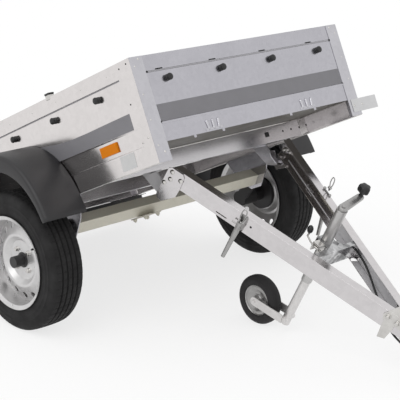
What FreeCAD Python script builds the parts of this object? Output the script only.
"""Tipping utility trailer, standing on its wheels and jockey wheel with the box tipped.

Units are millimetres.  Two local frames keep the numbers square:

* box frame: origin at the bottom of the box's front face, X forward, Y left, Z up;
* bar frame: origin at the tipping pin, X along the drawbar (p), Y left, Z square to it (q).

The bar frame sits in the box frame, and the box frame in the world, where the floor is
Z = 0 and the origin is under the middle of the whole trailer.  A piece with a twin on the
other side is drawn on the left and mirrored.
"""
import math
import os

import FreeCAD
import Part

V = FreeCAD.Vector

# ---- fits and stock --------------------------------------------------------------
CLEAR = 0.3         # gap between fixed pieces that only meet
MOVE = 6.0          # least gap to a piece that moves
FIT = 0.05          # running fit, radial
SHEET = 1.5         # galvanised sheet
PLATE = 4.0         # bracket plate

# ---- load box --------------------------------------------------------------------
BOX_L, BOX_W, BOX_H = 1550.0, 1090.0, 374.0
SKIRT = 70.0                        # side skirt below the floor
FLOOR_T = 2.0
RIM_IN, RIM_DOWN = 22.0, 12.0       # rim turned in, then down
HEM_IN = 25.0                       # bottom edge turned in
FOLD_IN, STEP_IN, STEP_Z = 3.5, 2.0, 137.0      # lower panel folded in, and the step above it
BAND_Z, GROOVE_H, GROOVE_D = 312.0, 6.0, 4.5    # groove under the rim band
GROOVE_END = 80.0                   # plain stretch at each end of a side
POST_W = 60.0                       # corner post width
WALL_LAP = 20.0                     # front wall behind each post
MEMBER_B, MEMBER_T, MEMBER_Z = 35.0, 2.0, 2.0   # cross-member flange, sheet and underside

# ---- running gear ----------------------------------------------------------------
TYRE_R, TYRE_W, RIM_R = 266.5, 145.0, 169.0     # 145/70 R13
WHEEL_GAP = 30.5                    # side skirt to tyre
TRACK_Y = BOX_W / 2 + WHEEL_GAP + TYRE_W / 2
AXLE_X, AXLE_Z = -780.0, -169.0     # road wheel centre
TUBE_X, TUBE_Z, TUBE_SIDE, TUBE_T = -655.0, -98.0, 50.0, 5.0    # axle tube on edge
TUBE_Y = BOX_W / 2 - 38.0           # half length of the axle tube
STUB_R = 15.0
HUB_IN, HUB_OUT = 48.0, 62.0        # hub's reach inward and outward from the wheel's middle
HUB_SEAT, HUB_R, CAP_R = 12.0, 72.0, 22.0       # wheel disc's seat, hub disc and dust cap
VENTS, VENT_R, VENT_PCR = 16, 12.5, 139.0       # round vents in the wheel disc
GUARD_A, GUARD_B, GUARD_N = 320.0, 412.0, 2.4   # mudguard crown: half length, height, squareness
ARCH_A, ARCH_B = 293.0, 345.0       # wheel opening in the mudguard's flank
GUARD_END = 98.0                    # mudguard's lower edge above the axle
GUARD_T = 3.0
GUARD_Y = TRACK_Y + TYRE_W / 2 + 14.5

# ---- drawbar ---------------------------------------------------------------------
PIN_X, PIN_Z, PIN_R = -300.0, -76.0, 8.0        # tipping pin
DROP = 51.8                         # drawbar below the box floor, degrees
BEAM_Q, BEAM_H, BEAM_B, BEAM_T = 120.0, 71.0, 35.0, 2.5
BEAM_Y0, BEAM_V = 317.6, 16.64      # half width at the pin, half angle
BEAM_P = (12.0, 975.0)              # rear end and front end along the bar
CHEEK_Y = 300.0                     # outer face of a tipping bracket
LATCH_P, LATCH_W = 318.0, 24.0      # latch along the bar, and its width
BALL_P, BALL_Q, BALL_R, BALL_L = 1085.0, 90.0, 25.05, 24.0  # socket for a 50 mm ball

# ---- jockey wheel ----------------------------------------------------------------
LEG_P = 535.0                       # leg along the bar
BRIDGE_P, BRIDGE_Q = (LEG_P - 30, LEG_P + 59), 53.0     # bridge along the bar, and its lower edge
SLEEVE_R, SLEEVE_RI, SLEEVE_Q = 20.5, 17.9, (-78.0, 265.0)
TUBE_R, TUBE_RI, TUBE_LEN = 17.5, 15.0, 330.0   # inner tube
LEG_TRAIL, LEG_Q = 142.0, -306.0    # jockey wheel behind the leg, and its height
SWIVEL_Q = -262.0                   # inner tube's lower end, where the fork turns
FORK_Y, FORK_T, FORK_B = 33.0, 4.0, 34.0        # fork arm's inner face, thickness and width
FORK_END_Q = -269.0                 # fork arm's middle at the leg
JW_R, JW_W, JW_RIM = 97.0, 54.0, 60.0
CRANK_ANGLE, CRANK_L, CRANK_W = 101.5, 124.0, 27.0
CRANK_GAP, CRANK_H, CRANK_T = 4.0, 9.0, 2.5     # arm above the sleeve's top, its depth and its sheet
STAR_RISE, STAR_H = 17.5, 28.0      # star knob above the arm, and its depth

SIDES = (("right", -1), ("left", 1))


# ---- small helpers ---------------------------------------------------------------
def box(x0, x1, y0, y1, z0, z1):
    """Axis-aligned block between two corners."""
    return Part.makeBox(x1 - x0, y1 - y0, z1 - z0, V(x0, y0, z0))


def cyl(r, p, d, h):
    """Cylinder of radius r and length h from point p along d."""
    return Part.makeCylinder(r, h, V(*p), V(*d))


def tube(r, ri, p, d, h):
    """Hollow cylinder."""
    return cyl(r, p, d, h).cut(cyl(ri, p, d, h))


def rod(r, points):
    """Round rod through points, with a ball at each bend."""
    made = []
    for a, b in zip(points, points[1:]):
        a, b = V(*a), V(*b)
        made.append(Part.makeCylinder(r, (b - a).Length, a, b - a))
    made += [Part.makeSphere(r, V(*p)) for p in points[1:-1]]
    return fuse(made)


def prism(pts, axis, a, b):
    """Extrude a polygon from a to b along an axis; pts are the other two coordinates."""
    put = {"x": lambda u, v: V(a, u, v),
           "y": lambda u, v: V(u, a, v),
           "z": lambda u, v: V(u, v, a)}[axis]
    ray = {"x": V(b - a, 0, 0), "y": V(0, b - a, 0), "z": V(0, 0, b - a)}[axis]
    loop = [put(*p) for p in pts]
    return Part.Face(Part.makePolygon(loop + loop[:1])).extrude(ray)


def sheet(pts, t, axis, a, b):
    """Folded sheet: an open profile given thickness t to its left, extruded along an axis."""
    out, n = [], len(pts)
    for i in range(n):
        norms = []
        for j in (i - 1, i):
            if 0 <= j < n - 1:
                dx, dy = pts[j + 1][0] - pts[j][0], pts[j + 1][1] - pts[j][1]
                m = math.hypot(dx, dy)
                norms.append((-dy / m, dx / m))
        sx, sy = sum(k[0] for k in norms), sum(k[1] for k in norms)
        m2 = (sx * sx + sy * sy) / len(norms)
        out.append((pts[i][0] + t * sx / m2, pts[i][1] + t * sy / m2))
    return prism(list(pts) + out[::-1], axis, a, b)


def revolve(pts, centre):
    """Turn a closed (radius, along) profile about the Y axis through centre."""
    loop = [V(r, s, 0) for r, s in pts]
    face = Part.Face(Part.makePolygon(loop + loop[:1]))
    body = face.revolve(V(0, 0, 0), V(0, 1, 0), 360)
    body.translate(V(*centre))
    return body


def fuse(shapes):
    """Join touching solids into one piece."""
    first, rest = shapes[0], list(shapes[1:])
    return first.fuse(rest).removeSplitter() if rest else first


def cut(shape, tools):
    """Take a list of tools away from a shape."""
    return shape.cut(Part.makeCompound(tools)) if tools else shape


def side(s, shape):
    """A left-hand shape on its own side."""
    return shape if s > 0 else shape.mirror(V(0, 0, 0), V(0, 1, 0))


def both(shape):
    """A left-hand shape and its twin, sharing a node."""
    return Part.makeCompound([side(s, shape) for _, s in SIDES])


def beam_y(p):
    """Outer face of a drawbar beam at distance p along the bar."""
    return BEAM_Y0 - math.tan(math.radians(BEAM_V)) * p


def on_beam(shape, p=0.0):
    """Lay a shape drawn with X along the left beam and its outer web on Y = 0 onto the bar."""
    shape = shape.copy()
    shape.translate(V(p / math.cos(math.radians(BEAM_V)), 0, 0))
    shape.rotate(V(0, 0, 0), V(0, 0, 1), -BEAM_V)
    shape.translate(V(0, BEAM_Y0, 0))
    return shape


# ---- box body --------------------------------------------------------------------
HALF = BOX_W / 2
WALL_X = -SHEET - CLEAR                             # front wall's outer face
SIDE_X = (-BOX_L + SHEET + CLEAR, -SHEET - CLEAR)   # a side, between the post plates
INNER_Y = HALF - FOLD_IN - SHEET - CLEAR            # clear width inside the folded sides


def floor_sheet():
    front = WALL_X - SHEET - CLEAR - GROOVE_D
    return box(-BOX_L + SHEET + CLEAR, front, -INNER_Y, INNER_Y, SKIRT, SKIRT + FLOOR_T)


def side_profile(groove):
    """Outer face of a side from its turned-in bottom edge to its turned-down rim."""
    low = [(HALF - HEM_IN, 0), (HALF, 0), (HALF - FOLD_IN, SKIRT + FLOOR_T),
           (HALF - STEP_IN, STEP_Z - 4), (HALF, STEP_Z)]
    mid = groove_points(HALF, -1) if groove else []
    return low + mid + [(HALF, BOX_H), (HALF - RIM_IN, BOX_H), (HALF - RIM_IN, BOX_H - RIM_DOWN)]


def groove_points(face, inward):
    """A groove under the rim band, cut from a face in the inward direction."""
    deep = face + inward * GROOVE_D
    return [(face, BAND_Z), (deep, BAND_Z + 1), (deep, BAND_Z + GROOVE_H - 1), (face, BAND_Z + GROOVE_H)]


def side_panel(s):
    x0, x1 = SIDE_X
    mid = sheet(side_profile(True), SHEET, "x", x0 + GROOVE_END, x1 - GROOVE_END)
    ends = [sheet(side_profile(False), SHEET, "x", a, a + GROOVE_END) for a in (x0, x1 - GROOVE_END)]
    return side(s, fuse([mid] + ends))


TAB_Y, TAB_W, TAB_DROP = (-350, -209, 151, 288), 12.0, 9.0      # tabs on the wall's lower edge


def front_wall():
    w = HALF - POST_W + WALL_LAP
    bottom = SKIRT - 3
    prof = [(WALL_X, bottom)] + groove_points(WALL_X, -1)
    prof += [(WALL_X, BOX_H), (WALL_X - RIM_IN, BOX_H), (WALL_X - RIM_IN, BOX_H - RIM_DOWN)]
    wall = sheet(prof, SHEET, "y", -w, w)
    tabs = [box(WALL_X - SHEET, WALL_X, y - TAB_W / 2, y + TAB_W / 2, bottom - TAB_DROP, bottom + 1)
            for y in TAB_Y]
    return fuse([wall] + tabs)


GATE_X, GATE_Z, GATE_PIN = -BOX_L + 11.0, SKIRT + 24.0, 5.0     # tailgate pivot
GATE_Y = HALF - POST_W - MOVE                       # tailgate's half width


def corner_posts():
    flange_y = INNER_Y - SHEET
    low, high = SKIRT + FLOOR_T + CLEAR, BOX_H - SHEET - CLEAR      # a flange above the floor
    front = fuse([box(-SHEET, 0, HALF - POST_W, HALF, 0, BOX_H),
                  box(-POST_W, -SHEET, flange_y, INNER_Y, SHEET + CLEAR, SKIRT - CLEAR),
                  box(-POST_W, -SHEET, flange_y, INNER_Y, low, high)])
    x = -BOX_L
    eye = box(x, GATE_X + 10, HALF - POST_W, HALF - POST_W + 3, GATE_Z - 12, GATE_Z + 10)
    pin = cyl(GATE_PIN, (GATE_X, HALF - POST_W + 1, GATE_Z), (0, -1, 0), 1 + MOVE + 10)
    rear = fuse([box(x, x + SHEET, HALF - POST_W, HALF, 0, BOX_H),
                 box(x + SHEET, x + POST_W, flange_y, INNER_Y, low, high), eye, pin])
    return Part.makeCompound([side(s, post) for post in (front, rear) for _, s in SIDES])


MEMBER_X = (PIN_X - 22, AXLE_X - 280, -BOX_L + 50)      # front faces of the cross-members


def cross_members():
    y = HALF - HEM_IN - CLEAR
    made = []
    for x in MEMBER_X:
        prof = [(x - MEMBER_B, MEMBER_Z), (x, MEMBER_Z), (x, SKIRT), (x - MEMBER_B, SKIRT)]
        made.append(sheet(prof, MEMBER_T, "y", -y, y))
    return Part.makeCompound(made)


def tip_brackets():
    x, z, sill = PIN_X, PIN_Z, MEMBER_X[0]
    y0 = CHEEK_Y - PLATE
    cheek = prism([(sill - 118, SKIRT - CLEAR), (sill + 12, SKIRT - CLEAR), (x + 16, z + 6),
                   (x + 8, z - 16), (x - 12, z - 14), (x - 44, z - 4)], "y", y0, CHEEK_Y)
    sill_gap = box(sill - MEMBER_B - CLEAR, sill + CLEAR, y0 - 1, CHEEK_Y + 1, MEMBER_Z - CLEAR, SKIRT + 1)
    foot = box(sill - MEMBER_B, sill, y0 - 30, CHEEK_Y, MEMBER_Z - CLEAR - PLATE, MEMBER_Z - CLEAR)
    face = prism([(sill + 12, SKIRT - CLEAR), (sill + 12 - PLATE, SKIRT - CLEAR),
                  (x + 16 - PLATE, z + 10), (x + 16, z + 10)], "y", y0 - 34, y0)
    pin = cyl(PIN_R, (x, y0 - 4, z), (0, 1, 0), BEAM_Y0 + PLATE + 3 - y0 + 4)
    return both(fuse([cheek.cut(sill_gap), foot, face, pin]))


def axle_tube():
    d = TUBE_SIDE / math.sqrt(2)
    di = d - TUBE_T * math.sqrt(2)
    rings = [prism([(TUBE_X - k, TUBE_Z), (TUBE_X, TUBE_Z - k), (TUBE_X + k, TUBE_Z), (TUBE_X, TUBE_Z + k)],
                   "y", -TUBE_Y, TUBE_Y) for k in (d, di)]
    return rings[0].cut(rings[1])


CORE_R = 18.0                                       # torsion arm's shaft in the axle tube


def axle_brackets():
    x, y = TUBE_X, TUBE_Y + CLEAR
    plate = prism([(x - 132, 0), (x + 132, 0), (x + 92, -84), (x + 30, -146), (x - 30, -146), (x - 92, -84)],
                  "y", y, y + PLATE)
    plate = plate.cut(cyl(CORE_R + CLEAR, (x, y - 1, TUBE_Z), (0, 1, 0), PLATE + 2))
    foot = box(x - 132, x + 132, y, HALF - 5, -PLATE, 0)
    return both(fuse([plate, foot]))


def swing_arms():
    y0 = TUBE_Y + CLEAR + PLATE + CLEAR
    y1, end = y0 + 20, TRACK_Y - HUB_IN - MOVE
    shaft = cyl(CORE_R, (TUBE_X, TUBE_Y - 30, TUBE_Z), (0, 1, 0), y1 - TUBE_Y + 30)
    knuckle = cyl(27, (TUBE_X, y0, TUBE_Z), (0, 1, 0), y1 - y0)
    n = math.atan2(AXLE_Z - TUBE_Z, AXLE_X - TUBE_X)
    px, pz = -math.sin(n) * 24, math.cos(n) * 24
    arm = prism([(TUBE_X + px, TUBE_Z + pz), (AXLE_X + px, AXLE_Z + pz),
                 (AXLE_X - px, AXLE_Z - pz), (TUBE_X - px, TUBE_Z - pz)], "y", y0, y1)
    boss = cyl(34, (AXLE_X, y0, AXLE_Z), (0, 1, 0), end - y0)
    stub = cyl(STUB_R, (AXLE_X, end, AXLE_Z), (0, 1, 0), TRACK_Y + HUB_OUT - 16 - end)
    return both(fuse([shaft, knuckle, arm, boss, stub]))


def arch(a, b, n=GUARD_N, steps=20):
    """Rounded-square arch over the axle, from its front foot to its rear foot."""
    foot = math.asin((GUARD_END / b) ** (n / 2))
    made = []
    for i in range(steps + 1):
        t = foot + (math.pi - 2 * foot) * i / steps
        made.append((AXLE_X + math.copysign(a * abs(math.cos(t)) ** (2 / n), math.cos(t)),
                     AXLE_Z + b * math.sin(t) ** (2 / n)))
    return made


def mudguard(s):
    y0, y1 = HALF + CLEAR, GUARD_Y
    low = [(AXLE_X - GUARD_A - 10, AXLE_Z + GUARD_END - 40), (AXLE_X + GUARD_A + 10, AXLE_Z + GUARD_END - 40)]
    outer = prism(arch(GUARD_A, GUARD_B), "y", y0, y1)
    inner = prism(arch(GUARD_A - GUARD_T, GUARD_B - GUARD_T) + low, "y", y0 + GUARD_T, y1 - GUARD_T)
    hole = prism(arch(ARCH_A, ARCH_B) + low, "y", y0 - 1, y1 + 1)
    return side(s, cut(outer, [inner, hole]))


BAR_Z, BAR_H = -2.4, 64.0                           # lamp bar's top and depth


def lamp_bar():
    x = -BOX_L + 4
    bar = sheet([(x, BAR_Z - BAR_H), (x, BAR_Z), (x + 36, BAR_Z)], 2.0, "y", -HALF - 75, HALF + 75)
    hanger = box(x + 16, x + 36, HALF - 135, HALF - 95, BAR_Z - 1, MEMBER_Z)
    return fuse([bar] + [side(s, hanger) for _, s in SIDES])


def rear_lamps():
    x = -BOX_L + 2 - CLEAR
    return both(box(x - 42, x, HALF - 105, HALF + 65, BAR_Z - BAR_H + 4, BAR_Z - 4))


def side_reflectors():
    return both(box(-291, -192, HALF - STEP_IN, HALF + 5, 86, 124))


KNOB_X0, KNOB_PITCH, KNOB_Z = -221.0, 275.0, 284.0  # net knobs along a side
KNOB_FRONT = 264.0                                  # and across the front


def knob(p, d):
    """A net knob: foot, neck and head."""
    at = [V(*p) + V(*d) * h for h in (0.1, 6, 15)]
    return fuse([Part.makeCylinder(12, 6.5, at[0], V(*d)), Part.makeCylinder(7.5, 10, at[1], V(*d)),
                 Part.makeCylinder(12, 7, at[2], V(*d))])


def net_knobs():
    made = []
    for i in range(int((BOX_L + KNOB_X0 - POST_W) / KNOB_PITCH) + 1):
        for _, s in SIDES:
            made.append(knob((KNOB_X0 - i * KNOB_PITCH, s * HALF, KNOB_Z), (0, s, 0)))
    for k in (-1.5, -0.5, 0.5, 1.5):
        made.append(knob((WALL_X, k * KNOB_FRONT, KNOB_Z), (1, 0, 0)))
    return Part.makeCompound(made)


def front_marker():
    return box(CLEAR, CLEAR + 2, HALF - 45, HALF + 105, 14, 66)


CATCH_Z = (92.0, 112.0)


def latch_catches():
    """Three hook ridges over each latch, on a plate on the front wall."""
    y = beam_y(LATCH_P) + 12
    x = WALL_X + 0.1
    plate = box(x, x + 2, y - 40, y + 40, *CATCH_Z)
    hooks = [box(x + 1, x + 7, y + k * 28 - 5, y + k * 28 + 5, CATCH_Z[0] + 2, CATCH_Z[1] - 4)
             for k in (-1, 0, 1)]
    return both(fuse([plate] + hooks))


# ---- tailgate --------------------------------------------------------------------
def tailgate():
    x, back = -BOX_L, -BOX_L - 3
    prof = [(x + 12, BOX_H), (back, BOX_H)] + groove_points(back, 1)[::-1] + [(back, GATE_Z - 12)]
    skin = sheet(prof, SHEET, "y", -GATE_Y, GATE_Y)
    end = box(back, GATE_X + 10, GATE_Y - 5, GATE_Y, GATE_Z - 10, BOX_H - SHEET)
    bore = cyl(GATE_PIN + FIT, (GATE_X, GATE_Y - 20, GATE_Z), (0, 1, 0), 40)
    return cut(fuse([skin] + [side(s, end) for _, s in SIDES]), [side(s, bore) for _, s in SIDES])


def gate_latches():
    x = -BOX_L - 3 - CLEAR
    y = GATE_Y - 60
    plate = box(x - 2, x, y - 20, y + 20, 225, 300)
    lever = box(x - 14, x - 9, y - 9, y + 9, 205, 285)
    post = box(x - 10, x - 1, y - 9, y + 9, 255, 275)
    return both(fuse([plate, lever, post]))


# ---- drawbar body (bar frame) ----------------------------------------------------
def beam(s):
    p0, p1 = BEAM_P
    q0, q1 = BEAM_Q - BEAM_H, BEAM_Q
    k = math.cos(math.radians(BEAM_V))
    prof = [(-BEAM_B, q0), (0, q0), (0, q1), (-BEAM_B, q1)]
    bar = sheet(prof, BEAM_T, "x", p0 / k - 30, p1 / k + 30)
    slot = box(-24, 24, -10, 10, q0 + 9, q0 + 14)
    slot.translate(V(238 / k, 0, 0))
    hole = cyl(4, (353 / k, -10, BEAM_Q - 32), (0, 1, 0), 20)
    drain = cyl(15, ((BRIDGE_P[1] + 24) / k, -BEAM_B / 2 - 1, q0 - 1), (0, 0, 1), BEAM_T + 2)
    bar = on_beam(cut(bar, [slot, hole, drain])).common(box(p0, p1, CLEAR / 2, HALF, 0, HALF))
    return side(s, bar)


def pivot_plates():
    q = BEAM_Q
    prof = [(-5, q - 12), (8, q - 3), (56, q - 3), (66, q - 16), (66, q - 66), (60, q - 108),
            (14, q - 156), (-6, q - 152), (-14, q - 140)]
    plate = on_beam(prism(prof, "y", CLEAR, CLEAR + PLATE))
    return both(plate.cut(cyl(PIN_R + FIT, (0, BEAM_Y0 - 20, 0), (0, 1, 0), 60)))


def cross_channel():
    """The jockey bridge: a front web between the beams and a top plate round the leg."""
    p0, p1 = BRIDGE_P
    top = BEAM_Q - BEAM_T - CLEAR
    t = 2.5

    def inner(p):
        return beam_y(p) - (BEAM_T + CLEAR) / math.cos(math.radians(BEAM_V))

    y = inner(p1)
    web = box(p1 - t, p1, -y, y, BRIDGE_Q, top)
    tail = [(p1 - 20, y), (p1 - 20, 56), (LEG_P + 11, 37), (p0, 37), (p0, -22), (p1 - 31, -24),
            (p1 - 24, -60), (p1 - 20, -y)]
    plate = prism(tail + [(p1, -y), (p1, y)], "z", top - t, top)
    back = box(p0, p0 + t, -22, 37, top - 34, top)
    leg = cyl(SLEEVE_R + CLEAR, (LEG_P, 0, top - 40), (0, 0, 1), 60)
    feet = prism([(p1 - t, y), (p1 - 26, inner(p1 - 26)), (p1 - 26, inner(p1 - 26) - 3), (p1 - t, y - 3)],
                 "z", BRIDGE_Q, top)
    cable = cyl(CABLE_R + 3, (p1 - 10, CABLE_ROUTE[0][1], CABLE_ROUTE[0][2]), (1, 0, 0), 20)
    return cut(fuse([web, plate, back, feet, feet.mirror(V(0, 0, 0), V(0, 1, 0))]), [leg, cable])


LATCH_PIN_R, LATCH_PIN_Y, LATCH_PIN_Q = 3.0, 14.0, BEAM_Q - 44     # the latch's pin off the beam's face
LATCH_CHEEK = 2.5                                   # cheek and lever sheet


def latch_brackets():
    """Two cheeks and a base on each beam, with the pin across them and out to the rear for a loop."""
    w, y1 = LATCH_W / 2, LATCH_PIN_Y + 8
    base = box(-w, w, CLEAR, CLEAR + LATCH_CHEEK, BEAM_Q - 62, BEAM_Q - 2)
    prof = [(CLEAR, BEAM_Q - 62), (y1, BEAM_Q - 52), (y1, BEAM_Q - 24), (CLEAR, BEAM_Q - 2)]
    cheeks = [prism(prof, "x", a, a + LATCH_CHEEK) for a in (-w, w - LATCH_CHEEK)]
    pin = cyl(LATCH_PIN_R, (-w - 21, LATCH_PIN_Y, LATCH_PIN_Q), (1, 0, 0), LATCH_W + 23)
    return both(on_beam(fuse([base] + cheeks + [pin]), LATCH_P))


def latch_levers():
    """A tapered lever hanging from each bracket's pin, its sides turned in."""
    w = LATCH_W / 2 - LATCH_CHEEK - CLEAR
    y, top, end = LATCH_PIN_Y + 10, BEAM_Q - 24, BEAM_Q - 202
    face = prism([(-w, top), (w, top), (w + 3, BEAM_Q - 70), (w - 12, end),
                  (-w - 12, end), (-w - 8, BEAM_Q - 70)],
                 "y", y, y + LATCH_CHEEK)
    eyes = []
    for a in (-w, w - LATCH_CHEEK):
        ear = box(a, a + LATCH_CHEEK, LATCH_PIN_Y - 4, y + 1, LATCH_PIN_Q - 10, LATCH_PIN_Q + 10)
        bore = cyl(LATCH_PIN_R + FIT, (a - 1, LATCH_PIN_Y, LATCH_PIN_Q), (1, 0, 0), LATCH_CHEEK + 2)
        eyes.append(ear.cut(bore))
    return both(on_beam(fuse([face] + eyes), LATCH_P))


LOOP_R = 2.0                                        # latch loop's wire
LOOPS = (   # the two feet on the pin, the two shoulders above them, and the loop's top over the beam
    ((-LATCH_W / 2 - 4, -LATCH_W / 2 - 18), (-LATCH_W / 2 - 4, -LATCH_W / 2 - 18), 18),
    ((4.2, -4.2), (4.2, -10.0), 36),
)


def latch_loops():
    """Wire loops standing on the latches' pins: the right one beside its bracket, the left one inside it."""
    made = []
    y, foot, bend = LATCH_PIN_Y, LATCH_PIN_Q + LATCH_PIN_R + CLEAR, BEAM_Q - 10
    for (_, s), ((a, b), (c, d), over) in zip(SIDES, LOOPS):
        top = BEAM_Q + over
        wire = rod(LOOP_R, [(a, y, foot), (a, y, bend), (c, y, bend + 8), (c, y, top - 6), (c - 5, y, top),
                            (d + 5, y, top), (d, y, top - 6), (d, y, bend + 8), (b, y, bend), (b, y, foot)])
        made.append(side(s, on_beam(wire, LATCH_P)))
    return Part.makeCompound(made)


def coupling_head():
    """Side cheeks and a top plate over the beams, a hollow neck and the ball cup."""
    p0, p1 = BEAM_P[1] - 86, BEAM_P[1] + CLEAR
    t, top, low = PLATE, BEAM_Q + CLEAR, BEAM_Q - 40
    k = math.cos(math.radians(BEAM_V))

    def on_web(prof):
        """A plate on the beam's outer web; prof gives distance along the bar, and q."""
        return on_beam(prism([(p / k, q) for p, q in prof], "y", CLEAR, CLEAR + t))

    cheek = on_web([(p0, top - 20), (p0 + 8, low), (p1, low), (p1, top + t), (p0 + 14, top + t)])
    tab = fuse([on_web([(p0 + 12, 64), (p0 + 18, 4), (p0 + 44, 14), (p0 + 52, 64)]),
                on_web([(p0 + 12, 60), (p0 + 52, 60), (p0 + 52, low + 1), (p0 + 12, low + 1)])])

    def outer(p):
        return beam_y(p) + (CLEAR + t) / k

    rear = p0 + 14
    plate = prism([(rear, -outer(rear)), (p1, -outer(p1)), (p1, outer(p1)), (rear, outer(rear))],
                  "z", top, top + t)
    w, front = outer(p1), BALL_P - 22
    neck = prism([(p1, -w), (front, -34), (front, 34), (p1, w)], "z", BEAM_Q - BEAM_H, top + t)
    hollow = prism([(p1 - 1, -w + 5), (front - 8, -29), (front - 8, 29), (p1 - 1, w - 5)],
                   "z", BEAM_Q - BEAM_H - 1, top - 1)
    cup = cyl(37, (BALL_P, 0, BALL_Q - 32), (0, 0, 1), 70)
    dome = Part.makeSphere(37, V(BALL_P, 0, BALL_Q + 20))
    bore = cyl(BALL_R, (BALL_P, 0, BALL_Q - 33), (0, 0, 1), BALL_L + 1)
    cap = Part.makeSphere(BALL_R, V(BALL_P, 0, BALL_Q - 32 + BALL_L))
    holder = box(PLUG_P + 28, PLUG_P + 48, -3, 3, PLUG_Q + PLUG_R + CLEAR, top)
    arms = [cheek, tab]
    solid = fuse(arms + [side(-1, arm) for arm in arms] + [plate, neck.cut(hollow), cup, dome, holder])
    under = BEAM_Q - BEAM_H - 2
    below = cyl(BALL_R + 3, (BALL_P, 0, under), (0, 0, 1), BALL_Q - 32 - under)
    return cut(solid, [bore, cap, below])


def coupling_handle():
    z = BALL_Q + 57.5
    prof = [(BALL_P - 24, z), (BALL_P + 10, z), (BALL_P + 10, z + 16), (BALL_P - 20, z + 34),
            (BALL_P - 150, z + 34), (BALL_P - 150, z + 24), (BALL_P - 30, z + 20)]
    return prism(prof, "y", -10, 10)


def jockey_sleeve():
    """Outer tube with its crank bearing at the top."""
    q0, q1 = SLEEVE_Q
    body = tube(SLEEVE_R, SLEEVE_RI, (LEG_P, 0, q0), (0, 0, 1), q1 - q0)
    cap = cyl(SLEEVE_R, (LEG_P, 0, q1 - 4), (0, 0, 1), 4)
    return fuse([body, cap])


CLAMP_Q, CLAMP_H = 82.0, 30.0


def jockey_clamp():
    """Split ring on the sleeve with two ears, their bolt and its bent rod."""
    q0, q1 = CLAMP_Q, CLAMP_Q + CLAMP_H
    ring = cyl(SLEEVE_R + 5, (LEG_P, 0, q0), (0, 0, 1), CLAMP_H)
    ears = fuse([box(LEG_P - 14, LEG_P + 18, -58, -SLEEVE_R, q0, q1),
                 box(LEG_P - 14, LEG_P + 18, -58, -28, q0, q1 + 8)])
    ring = cut(fuse([ring, ears]), [cyl(SLEEVE_R + FIT, (LEG_P, 0, q0 - 1), (0, 0, 1), CLAMP_H + 2),
                                    box(LEG_P - 10, LEG_P + 14, -59, -SLEEVE_R - 6, q0 - 1, q1 + 5)])
    y, q = -46, q0 + 15
    bolt = cyl(5, (LEG_P - 20, y, q), (1, 0, 0), 44)
    handle = rod(3.5, [(LEG_P - 18, y, q), (LEG_P - 30, y - 4, q + 6), (LEG_P - 48, y - 9, q + 20),
                       (LEG_P - 46, y - 9, q + 34)])
    return fuse([ring, bolt, handle])


def crank_point(r, across=0.0):
    """A point r along the crank arm and off to its side, in p and y."""
    a = math.radians(CRANK_ANGLE)
    return (LEG_P + r * math.cos(a) - across * math.sin(a), r * math.sin(a) + across * math.cos(a))


def jockey_crank():
    """A channel arm, open downwards, on a short stem."""
    q = SLEEVE_Q[1] + CRANK_GAP
    top = q + CRANK_H
    w = CRANK_W / 2

    def strip(a, b, lo, hi):
        r0, r1 = -14, CRANK_L + 14
        corners = [crank_point(r, across) for r, across in ((r0, a), (r1, a), (r1, b), (r0, b))]
        return prism(corners, "z", lo, hi)

    arm = [strip(-w, w, top - CRANK_T, top), strip(-w, -w + CRANK_T, q, top), strip(w - CRANK_T, w, q, top)]
    stem = cyl(11, (LEG_P, 0, SLEEVE_Q[1] + 0.1), (0, 0, 1), CRANK_GAP + CRANK_H - 1)
    return fuse(arm + [stem])


def hand_grips():
    """The crank's star knob and the clamp rod's grip."""
    q = SLEEVE_Q[1] + CRANK_GAP + CRANK_H + 0.1
    px, py = crank_point(CRANK_L)
    parts = [cyl(7, (px, py, q), (0, 0, 1), STAR_RISE + 2),
             cyl(16, (px, py, q + STAR_RISE), (0, 0, 1), STAR_H)]
    for k in range(5):
        a = math.radians(72 * k + 20)
        lobe = (px + 14 * math.cos(a), py + 14 * math.sin(a), q + STAR_RISE)
        parts.append(cyl(9, lobe, (0, 0, 1), STAR_H))
    x, y, z = LEG_P - 46, -55, CLAMP_Q + 51
    grip = fuse([cyl(9, (x, y, z), (-0.2, 0, 1), 30), Part.makeSphere(10.5, V(x - 6, y, z + 26))])
    return Part.makeCompound([fuse(parts), grip])


CABLE_R = 4.0
CABLE_ROUTE = ((BRIDGE_P[1], 112, 96), (BALL_P - 435, 98, 95), (BALL_P - 379, 79, 84), (BALL_P - 327, 57, 70),
               (BALL_P - 279, 36, 59), (BALL_P - 235, 20, 44), (BALL_P - 195, 9, 30), (BALL_P - 160, 3, 21),
               (BALL_P - 130, 0, 18), (BALL_P - 100, 0, 18))    # p, y, q from the bridge to the plug


def supply_cable():
    """Straight runs joined by tangent arcs, each as large as its runs allow."""
    pts = [V(*p) for p in CABLE_ROUTE]
    edges, last = [], pts[0]
    for a, b, c in zip(pts, pts[1:], pts[2:]):
        u, v = (a - b).normalize(), (c - b).normalize()
        half = (math.pi - u.getAngle(v)) / 2
        reach = 0.45 * min((a - b).Length, (c - b).Length)
        r = reach / math.tan(half)
        mid = b + (u + v).normalize() * (r / math.cos(half) - r)
        edges += [Part.makeLine(last, b + u * reach), Part.Arc(b + u * reach, mid, b + v * reach).toShape()]
        last = b + v * reach
    edges.append(Part.makeLine(last, pts[-1]))
    disc = Part.Wire([Part.makeCircle(CABLE_R, pts[0], pts[1] - pts[0])])
    return Part.Wire(edges).makePipeShell([disc], True, False)


PLUG_R = 19.0
PLUG_P, PLUG_Y, PLUG_Q = CABLE_ROUTE[-1][0] + 0.1, CABLE_ROUTE[-1][1], CABLE_ROUTE[-1][2]


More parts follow.
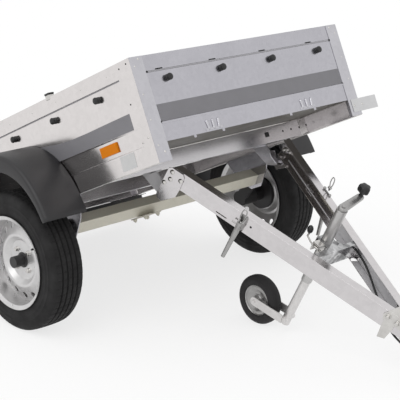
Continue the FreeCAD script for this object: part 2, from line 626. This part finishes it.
def plug():
    tail = cyl(9, (PLUG_P, PLUG_Y, PLUG_Q), (1, 0, 0), 14)
    body = cyl(PLUG_R, (PLUG_P + 12, PLUG_Y, PLUG_Q), (1, 0, 0), 48)
    return fuse([tail, body])


# ---- jockey leg ------------------------------------------------------------------
def jockey_inner_tube():
    return tube(TUBE_R, TUBE_RI, (LEG_P, 0, SWIVEL_Q + CLEAR), (0, 0, 1), TUBE_LEN)


def jockey_fork():
    """A spigot in the inner tube, a short barrel and two flat arms trailing to the axle."""
    hub = LEG_P - LEG_TRAIL
    spigot = cyl(TUBE_RI - FIT, (LEG_P, 0, SWIVEL_Q - 5), (0, 0, 1), 15)
    barrel = cyl(TUBE_R, (LEG_P, 0, SWIVEL_Q - 36), (0, 0, 1), 36)
    y1 = FORK_Y + FORK_T
    cross = cyl(11, (LEG_P - 2, -FORK_Y - 1, FORK_END_Q - 5), (0, 1, 0), 2 * FORK_Y + 2)
    n = math.atan2(FORK_END_Q - LEG_Q, LEG_TRAIL)
    px, pq = -math.sin(n) * FORK_B / 2, math.cos(n) * FORK_B / 2
    arm = prism([(hub + px, LEG_Q + pq), (hub - px, LEG_Q - pq),
                 (LEG_P - px, FORK_END_Q - pq), (LEG_P + px, FORK_END_Q + pq)], "y", FORK_Y, y1)
    end = cyl(FORK_B / 2, (hub, FORK_Y, LEG_Q), (0, 1, 0), FORK_T)
    arm = fuse([arm, end])
    pin = cyl(6, (hub, -y1 - 5, LEG_Q), (0, 1, 0), 2 * y1 + 10)
    return fuse([spigot, barrel, cross, arm, arm.mirror(V(0, 0, 0), V(0, 1, 0)), pin])


def jockey_tyre():
    w, r = JW_W / 2, JW_R
    prof = [(JW_RIM, -w + 6), (JW_RIM + 4, -w), (r - 14, -w), (r - 4, -w + 7), (r, -w + 16),
            (r, w - 16), (r - 4, w - 7), (r - 14, w), (JW_RIM + 4, w), (JW_RIM, w - 6)]
    return revolve(prof, (LEG_P - LEG_TRAIL, 0, LEG_Q))


def jockey_rim():
    r, bore, w = JW_RIM - CLEAR, 6 + FIT, FORK_Y - 2
    prof = [(bore, -w), (15, -w), (15, -9), (r - 22, -7), (r - 8, -18), (r, -20),
            (r, 20), (r - 8, 18), (r - 22, 7), (15, 9), (15, w), (bore, w)]
    return revolve(prof, (LEG_P - LEG_TRAIL, 0, LEG_Q))


# ---- road wheels -----------------------------------------------------------------
def tyre(s):
    w, r = TYRE_W / 2, TYRE_R
    prof = [(RIM_R, -w + 12), (RIM_R + 30, -w), (r - 26, -w + 2), (r - 7, -w + 9), (r, -w + 20),
            (r, w - 20), (r - 7, w - 9), (r - 26, w - 2), (RIM_R + 30, w), (RIM_R, w - 12)]
    return side(s, revolve(prof, (AXLE_X, TRACK_Y, AXLE_Z)))


def rim(s):
    """Barrel and pressed disc: a raised ring, and a sloping band with round vents."""
    w, t = TYRE_W / 2, 4.0
    r = RIM_R - CLEAR
    ri, seat, hole = r - t, HUB_SEAT, CAP_R + CLEAR
    disc = [(ri - 14, seat - 5), (ri - 41, seat + 6), (ri - 61, seat + 17), (ri - 71, seat + 16),
            (HUB_R + 4, seat)]
    prof = [(r, -w + 8), (r + 12, -w - 2), (r + 12, -w - 4), (ri, -w + 4), (ri, seat - 10)] + disc
    prof += [(hole, seat), (hole, seat + t)] + [(q, h + t) for q, h in disc[::-1]] + [(ri, seat - 5)]
    prof += [(ri, w - 4), (r + 12, w + 4), (r + 12, w + 2), (r, w - 8)]
    wheel = revolve(prof, (AXLE_X, TRACK_Y, AXLE_Z))
    vents = []
    for k in range(VENTS):
        a = 2 * math.pi * k / VENTS
        at = (AXLE_X + VENT_PCR * math.cos(a), TRACK_Y, AXLE_Z + VENT_PCR * math.sin(a))
        vents.append(cyl(VENT_R, at, (0, 1, 0), 60))
    return side(s, cut(wheel, vents))


def hub(s):
    bore, seat, drum = STUB_R + FIT, HUB_SEAT - CLEAR, 2 * STUB_R
    end = HUB_OUT - 14
    prof = [(bore, -HUB_IN), (drum, -HUB_IN), (drum, -8), (HUB_R, -4), (HUB_R, seat),
            (CAP_R, seat), (CAP_R, end), (bore, end)]
    body = revolve(prof, (AXLE_X, TRACK_Y, AXLE_Z))
    cap = cyl(CAP_R, (AXLE_X, TRACK_Y + end - 1, AXLE_Z), (0, 1, 0), HUB_OUT - end + 1)
    return side(s, fuse([body, cap]))


# ---- the assembly ----------------------------------------------------------------
BOX, BAR = "box", "bar"
NODES = (
    # node, body, frame, maker
    ("floor_sheet", "box", BOX, floor_sheet),
    ("side_right", "box", BOX, lambda: side_panel(-1)),
    ("side_left", "box", BOX, lambda: side_panel(1)),
    ("front_wall", "box", BOX, front_wall),
    ("corner_posts", "box", BOX, corner_posts),
    ("cross_members", "box", BOX, cross_members),
    ("tip_brackets", "box", BOX, tip_brackets),
    ("axle_tube", "box", BOX, axle_tube),
    ("axle_brackets", "box", BOX, axle_brackets),
    ("swing_arms", "box", BOX, swing_arms),
    ("mudguard_right", "box", BOX, lambda: mudguard(-1)),
    ("mudguard_left", "box", BOX, lambda: mudguard(1)),
    ("lamp_bar", "box", BOX, lamp_bar),
    ("rear_lamps", "box", BOX, rear_lamps),
    ("side_reflectors", "box", BOX, side_reflectors),
    ("net_knobs", "box", BOX, net_knobs),
    ("front_marker", "box", BOX, front_marker),
    ("latch_catches", "box", BOX, latch_catches),
    ("tailgate", "tailgate", BOX, tailgate),
    ("gate_latches", "tailgate", BOX, gate_latches),
    ("beam_right", "drawbar", BAR, lambda: beam(-1)),
    ("beam_left", "drawbar", BAR, lambda: beam(1)),
    ("pivot_plates", "drawbar", BAR, pivot_plates),
    ("cross_channel", "drawbar", BAR, cross_channel),
    ("latch_brackets", "drawbar", BAR, latch_brackets),
    ("latch_levers", "drawbar", BAR, latch_levers),
    ("latch_loops", "drawbar", BAR, latch_loops),
    ("coupling_head", "drawbar", BAR, coupling_head),
    ("coupling_handle", "drawbar", BAR, coupling_handle),
    ("jockey_sleeve", "drawbar", BAR, jockey_sleeve),
    ("jockey_clamp", "drawbar", BAR, jockey_clamp),
    ("jockey_crank", "drawbar", BAR, jockey_crank),
    ("hand_grips", "drawbar", BAR, hand_grips),
    ("supply_cable", "drawbar", BAR, supply_cable),
    ("plug", "drawbar", BAR, plug),
    ("jockey_inner_tube", "jockey_leg", BAR, jockey_inner_tube),
    ("jockey_fork", "jockey_fork", BAR, jockey_fork),
    ("jockey_tyre", "jockey_wheel", BAR, jockey_tyre),
    ("jockey_rim", "jockey_wheel", BAR, jockey_rim),
    ("tyre_right", "wheel_right", BOX, lambda: tyre(-1)),
    ("rim_right", "wheel_right", BOX, lambda: rim(-1)),
    ("hub_right", "wheel_right", BOX, lambda: hub(-1)),
    ("tyre_left", "wheel_left", BOX, lambda: tyre(1)),
    ("rim_left", "wheel_left", BOX, lambda: rim(1)),
    ("hub_left", "wheel_left", BOX, lambda: hub(1)),
)


def bar_to_box(p, q):
    """Where a point (p, q) of the bar's middle plane lies in the box frame."""
    a = math.radians(DROP)
    return PIN_X + p * math.cos(a) + q * math.sin(a), PIN_Z - p * math.sin(a) + q * math.cos(a)


def stand_tilt():
    """Nose-up tilt of the box that sets the road wheels and the jockey wheel on the floor."""
    jx, jz = bar_to_box(LEG_P - LEG_TRAIL, LEG_Q)
    ax, az = AXLE_X - jx, AXLE_Z - jz
    return math.degrees(math.acos((TYRE_R - JW_R) / math.hypot(ax, az)) + math.atan2(ax, az))


def place(shape, frame, shift=V(0, 0, 0)):
    """Bring a shape from its local frame to the world."""
    shape = shape.copy()
    if frame == BAR:
        shape.rotate(V(0, 0, 0), V(0, 1, 0), DROP)
        shape.translate(V(PIN_X, 0, PIN_Z))
    shape.rotate(V(0, 0, 0), V(0, 1, 0), -stand_tilt())
    shape.translate(shift)
    return shape


def build():
    """Every node in the world frame, with the shift that put it there."""
    made = {name: place(make(), frame) for name, _, frame, make in NODES}
    bb = FreeCAD.BoundBox()
    for shape in made.values():
        bb.add(shape.optimalBoundingBox(False, False))
    shift = V(-(bb.XMin + bb.XMax) / 2, -(bb.YMin + bb.YMax) / 2, -bb.ZMin)
    for shape in made.values():
        shape.translate(shift)
    return made, shift


def main():
    os.makedirs("parts", exist_ok=True)
    made, _ = build()
    for name, shape in made.items():
        shape.exportStep("parts/%s.step" % name)


if __name__ == "__main__":
    main()
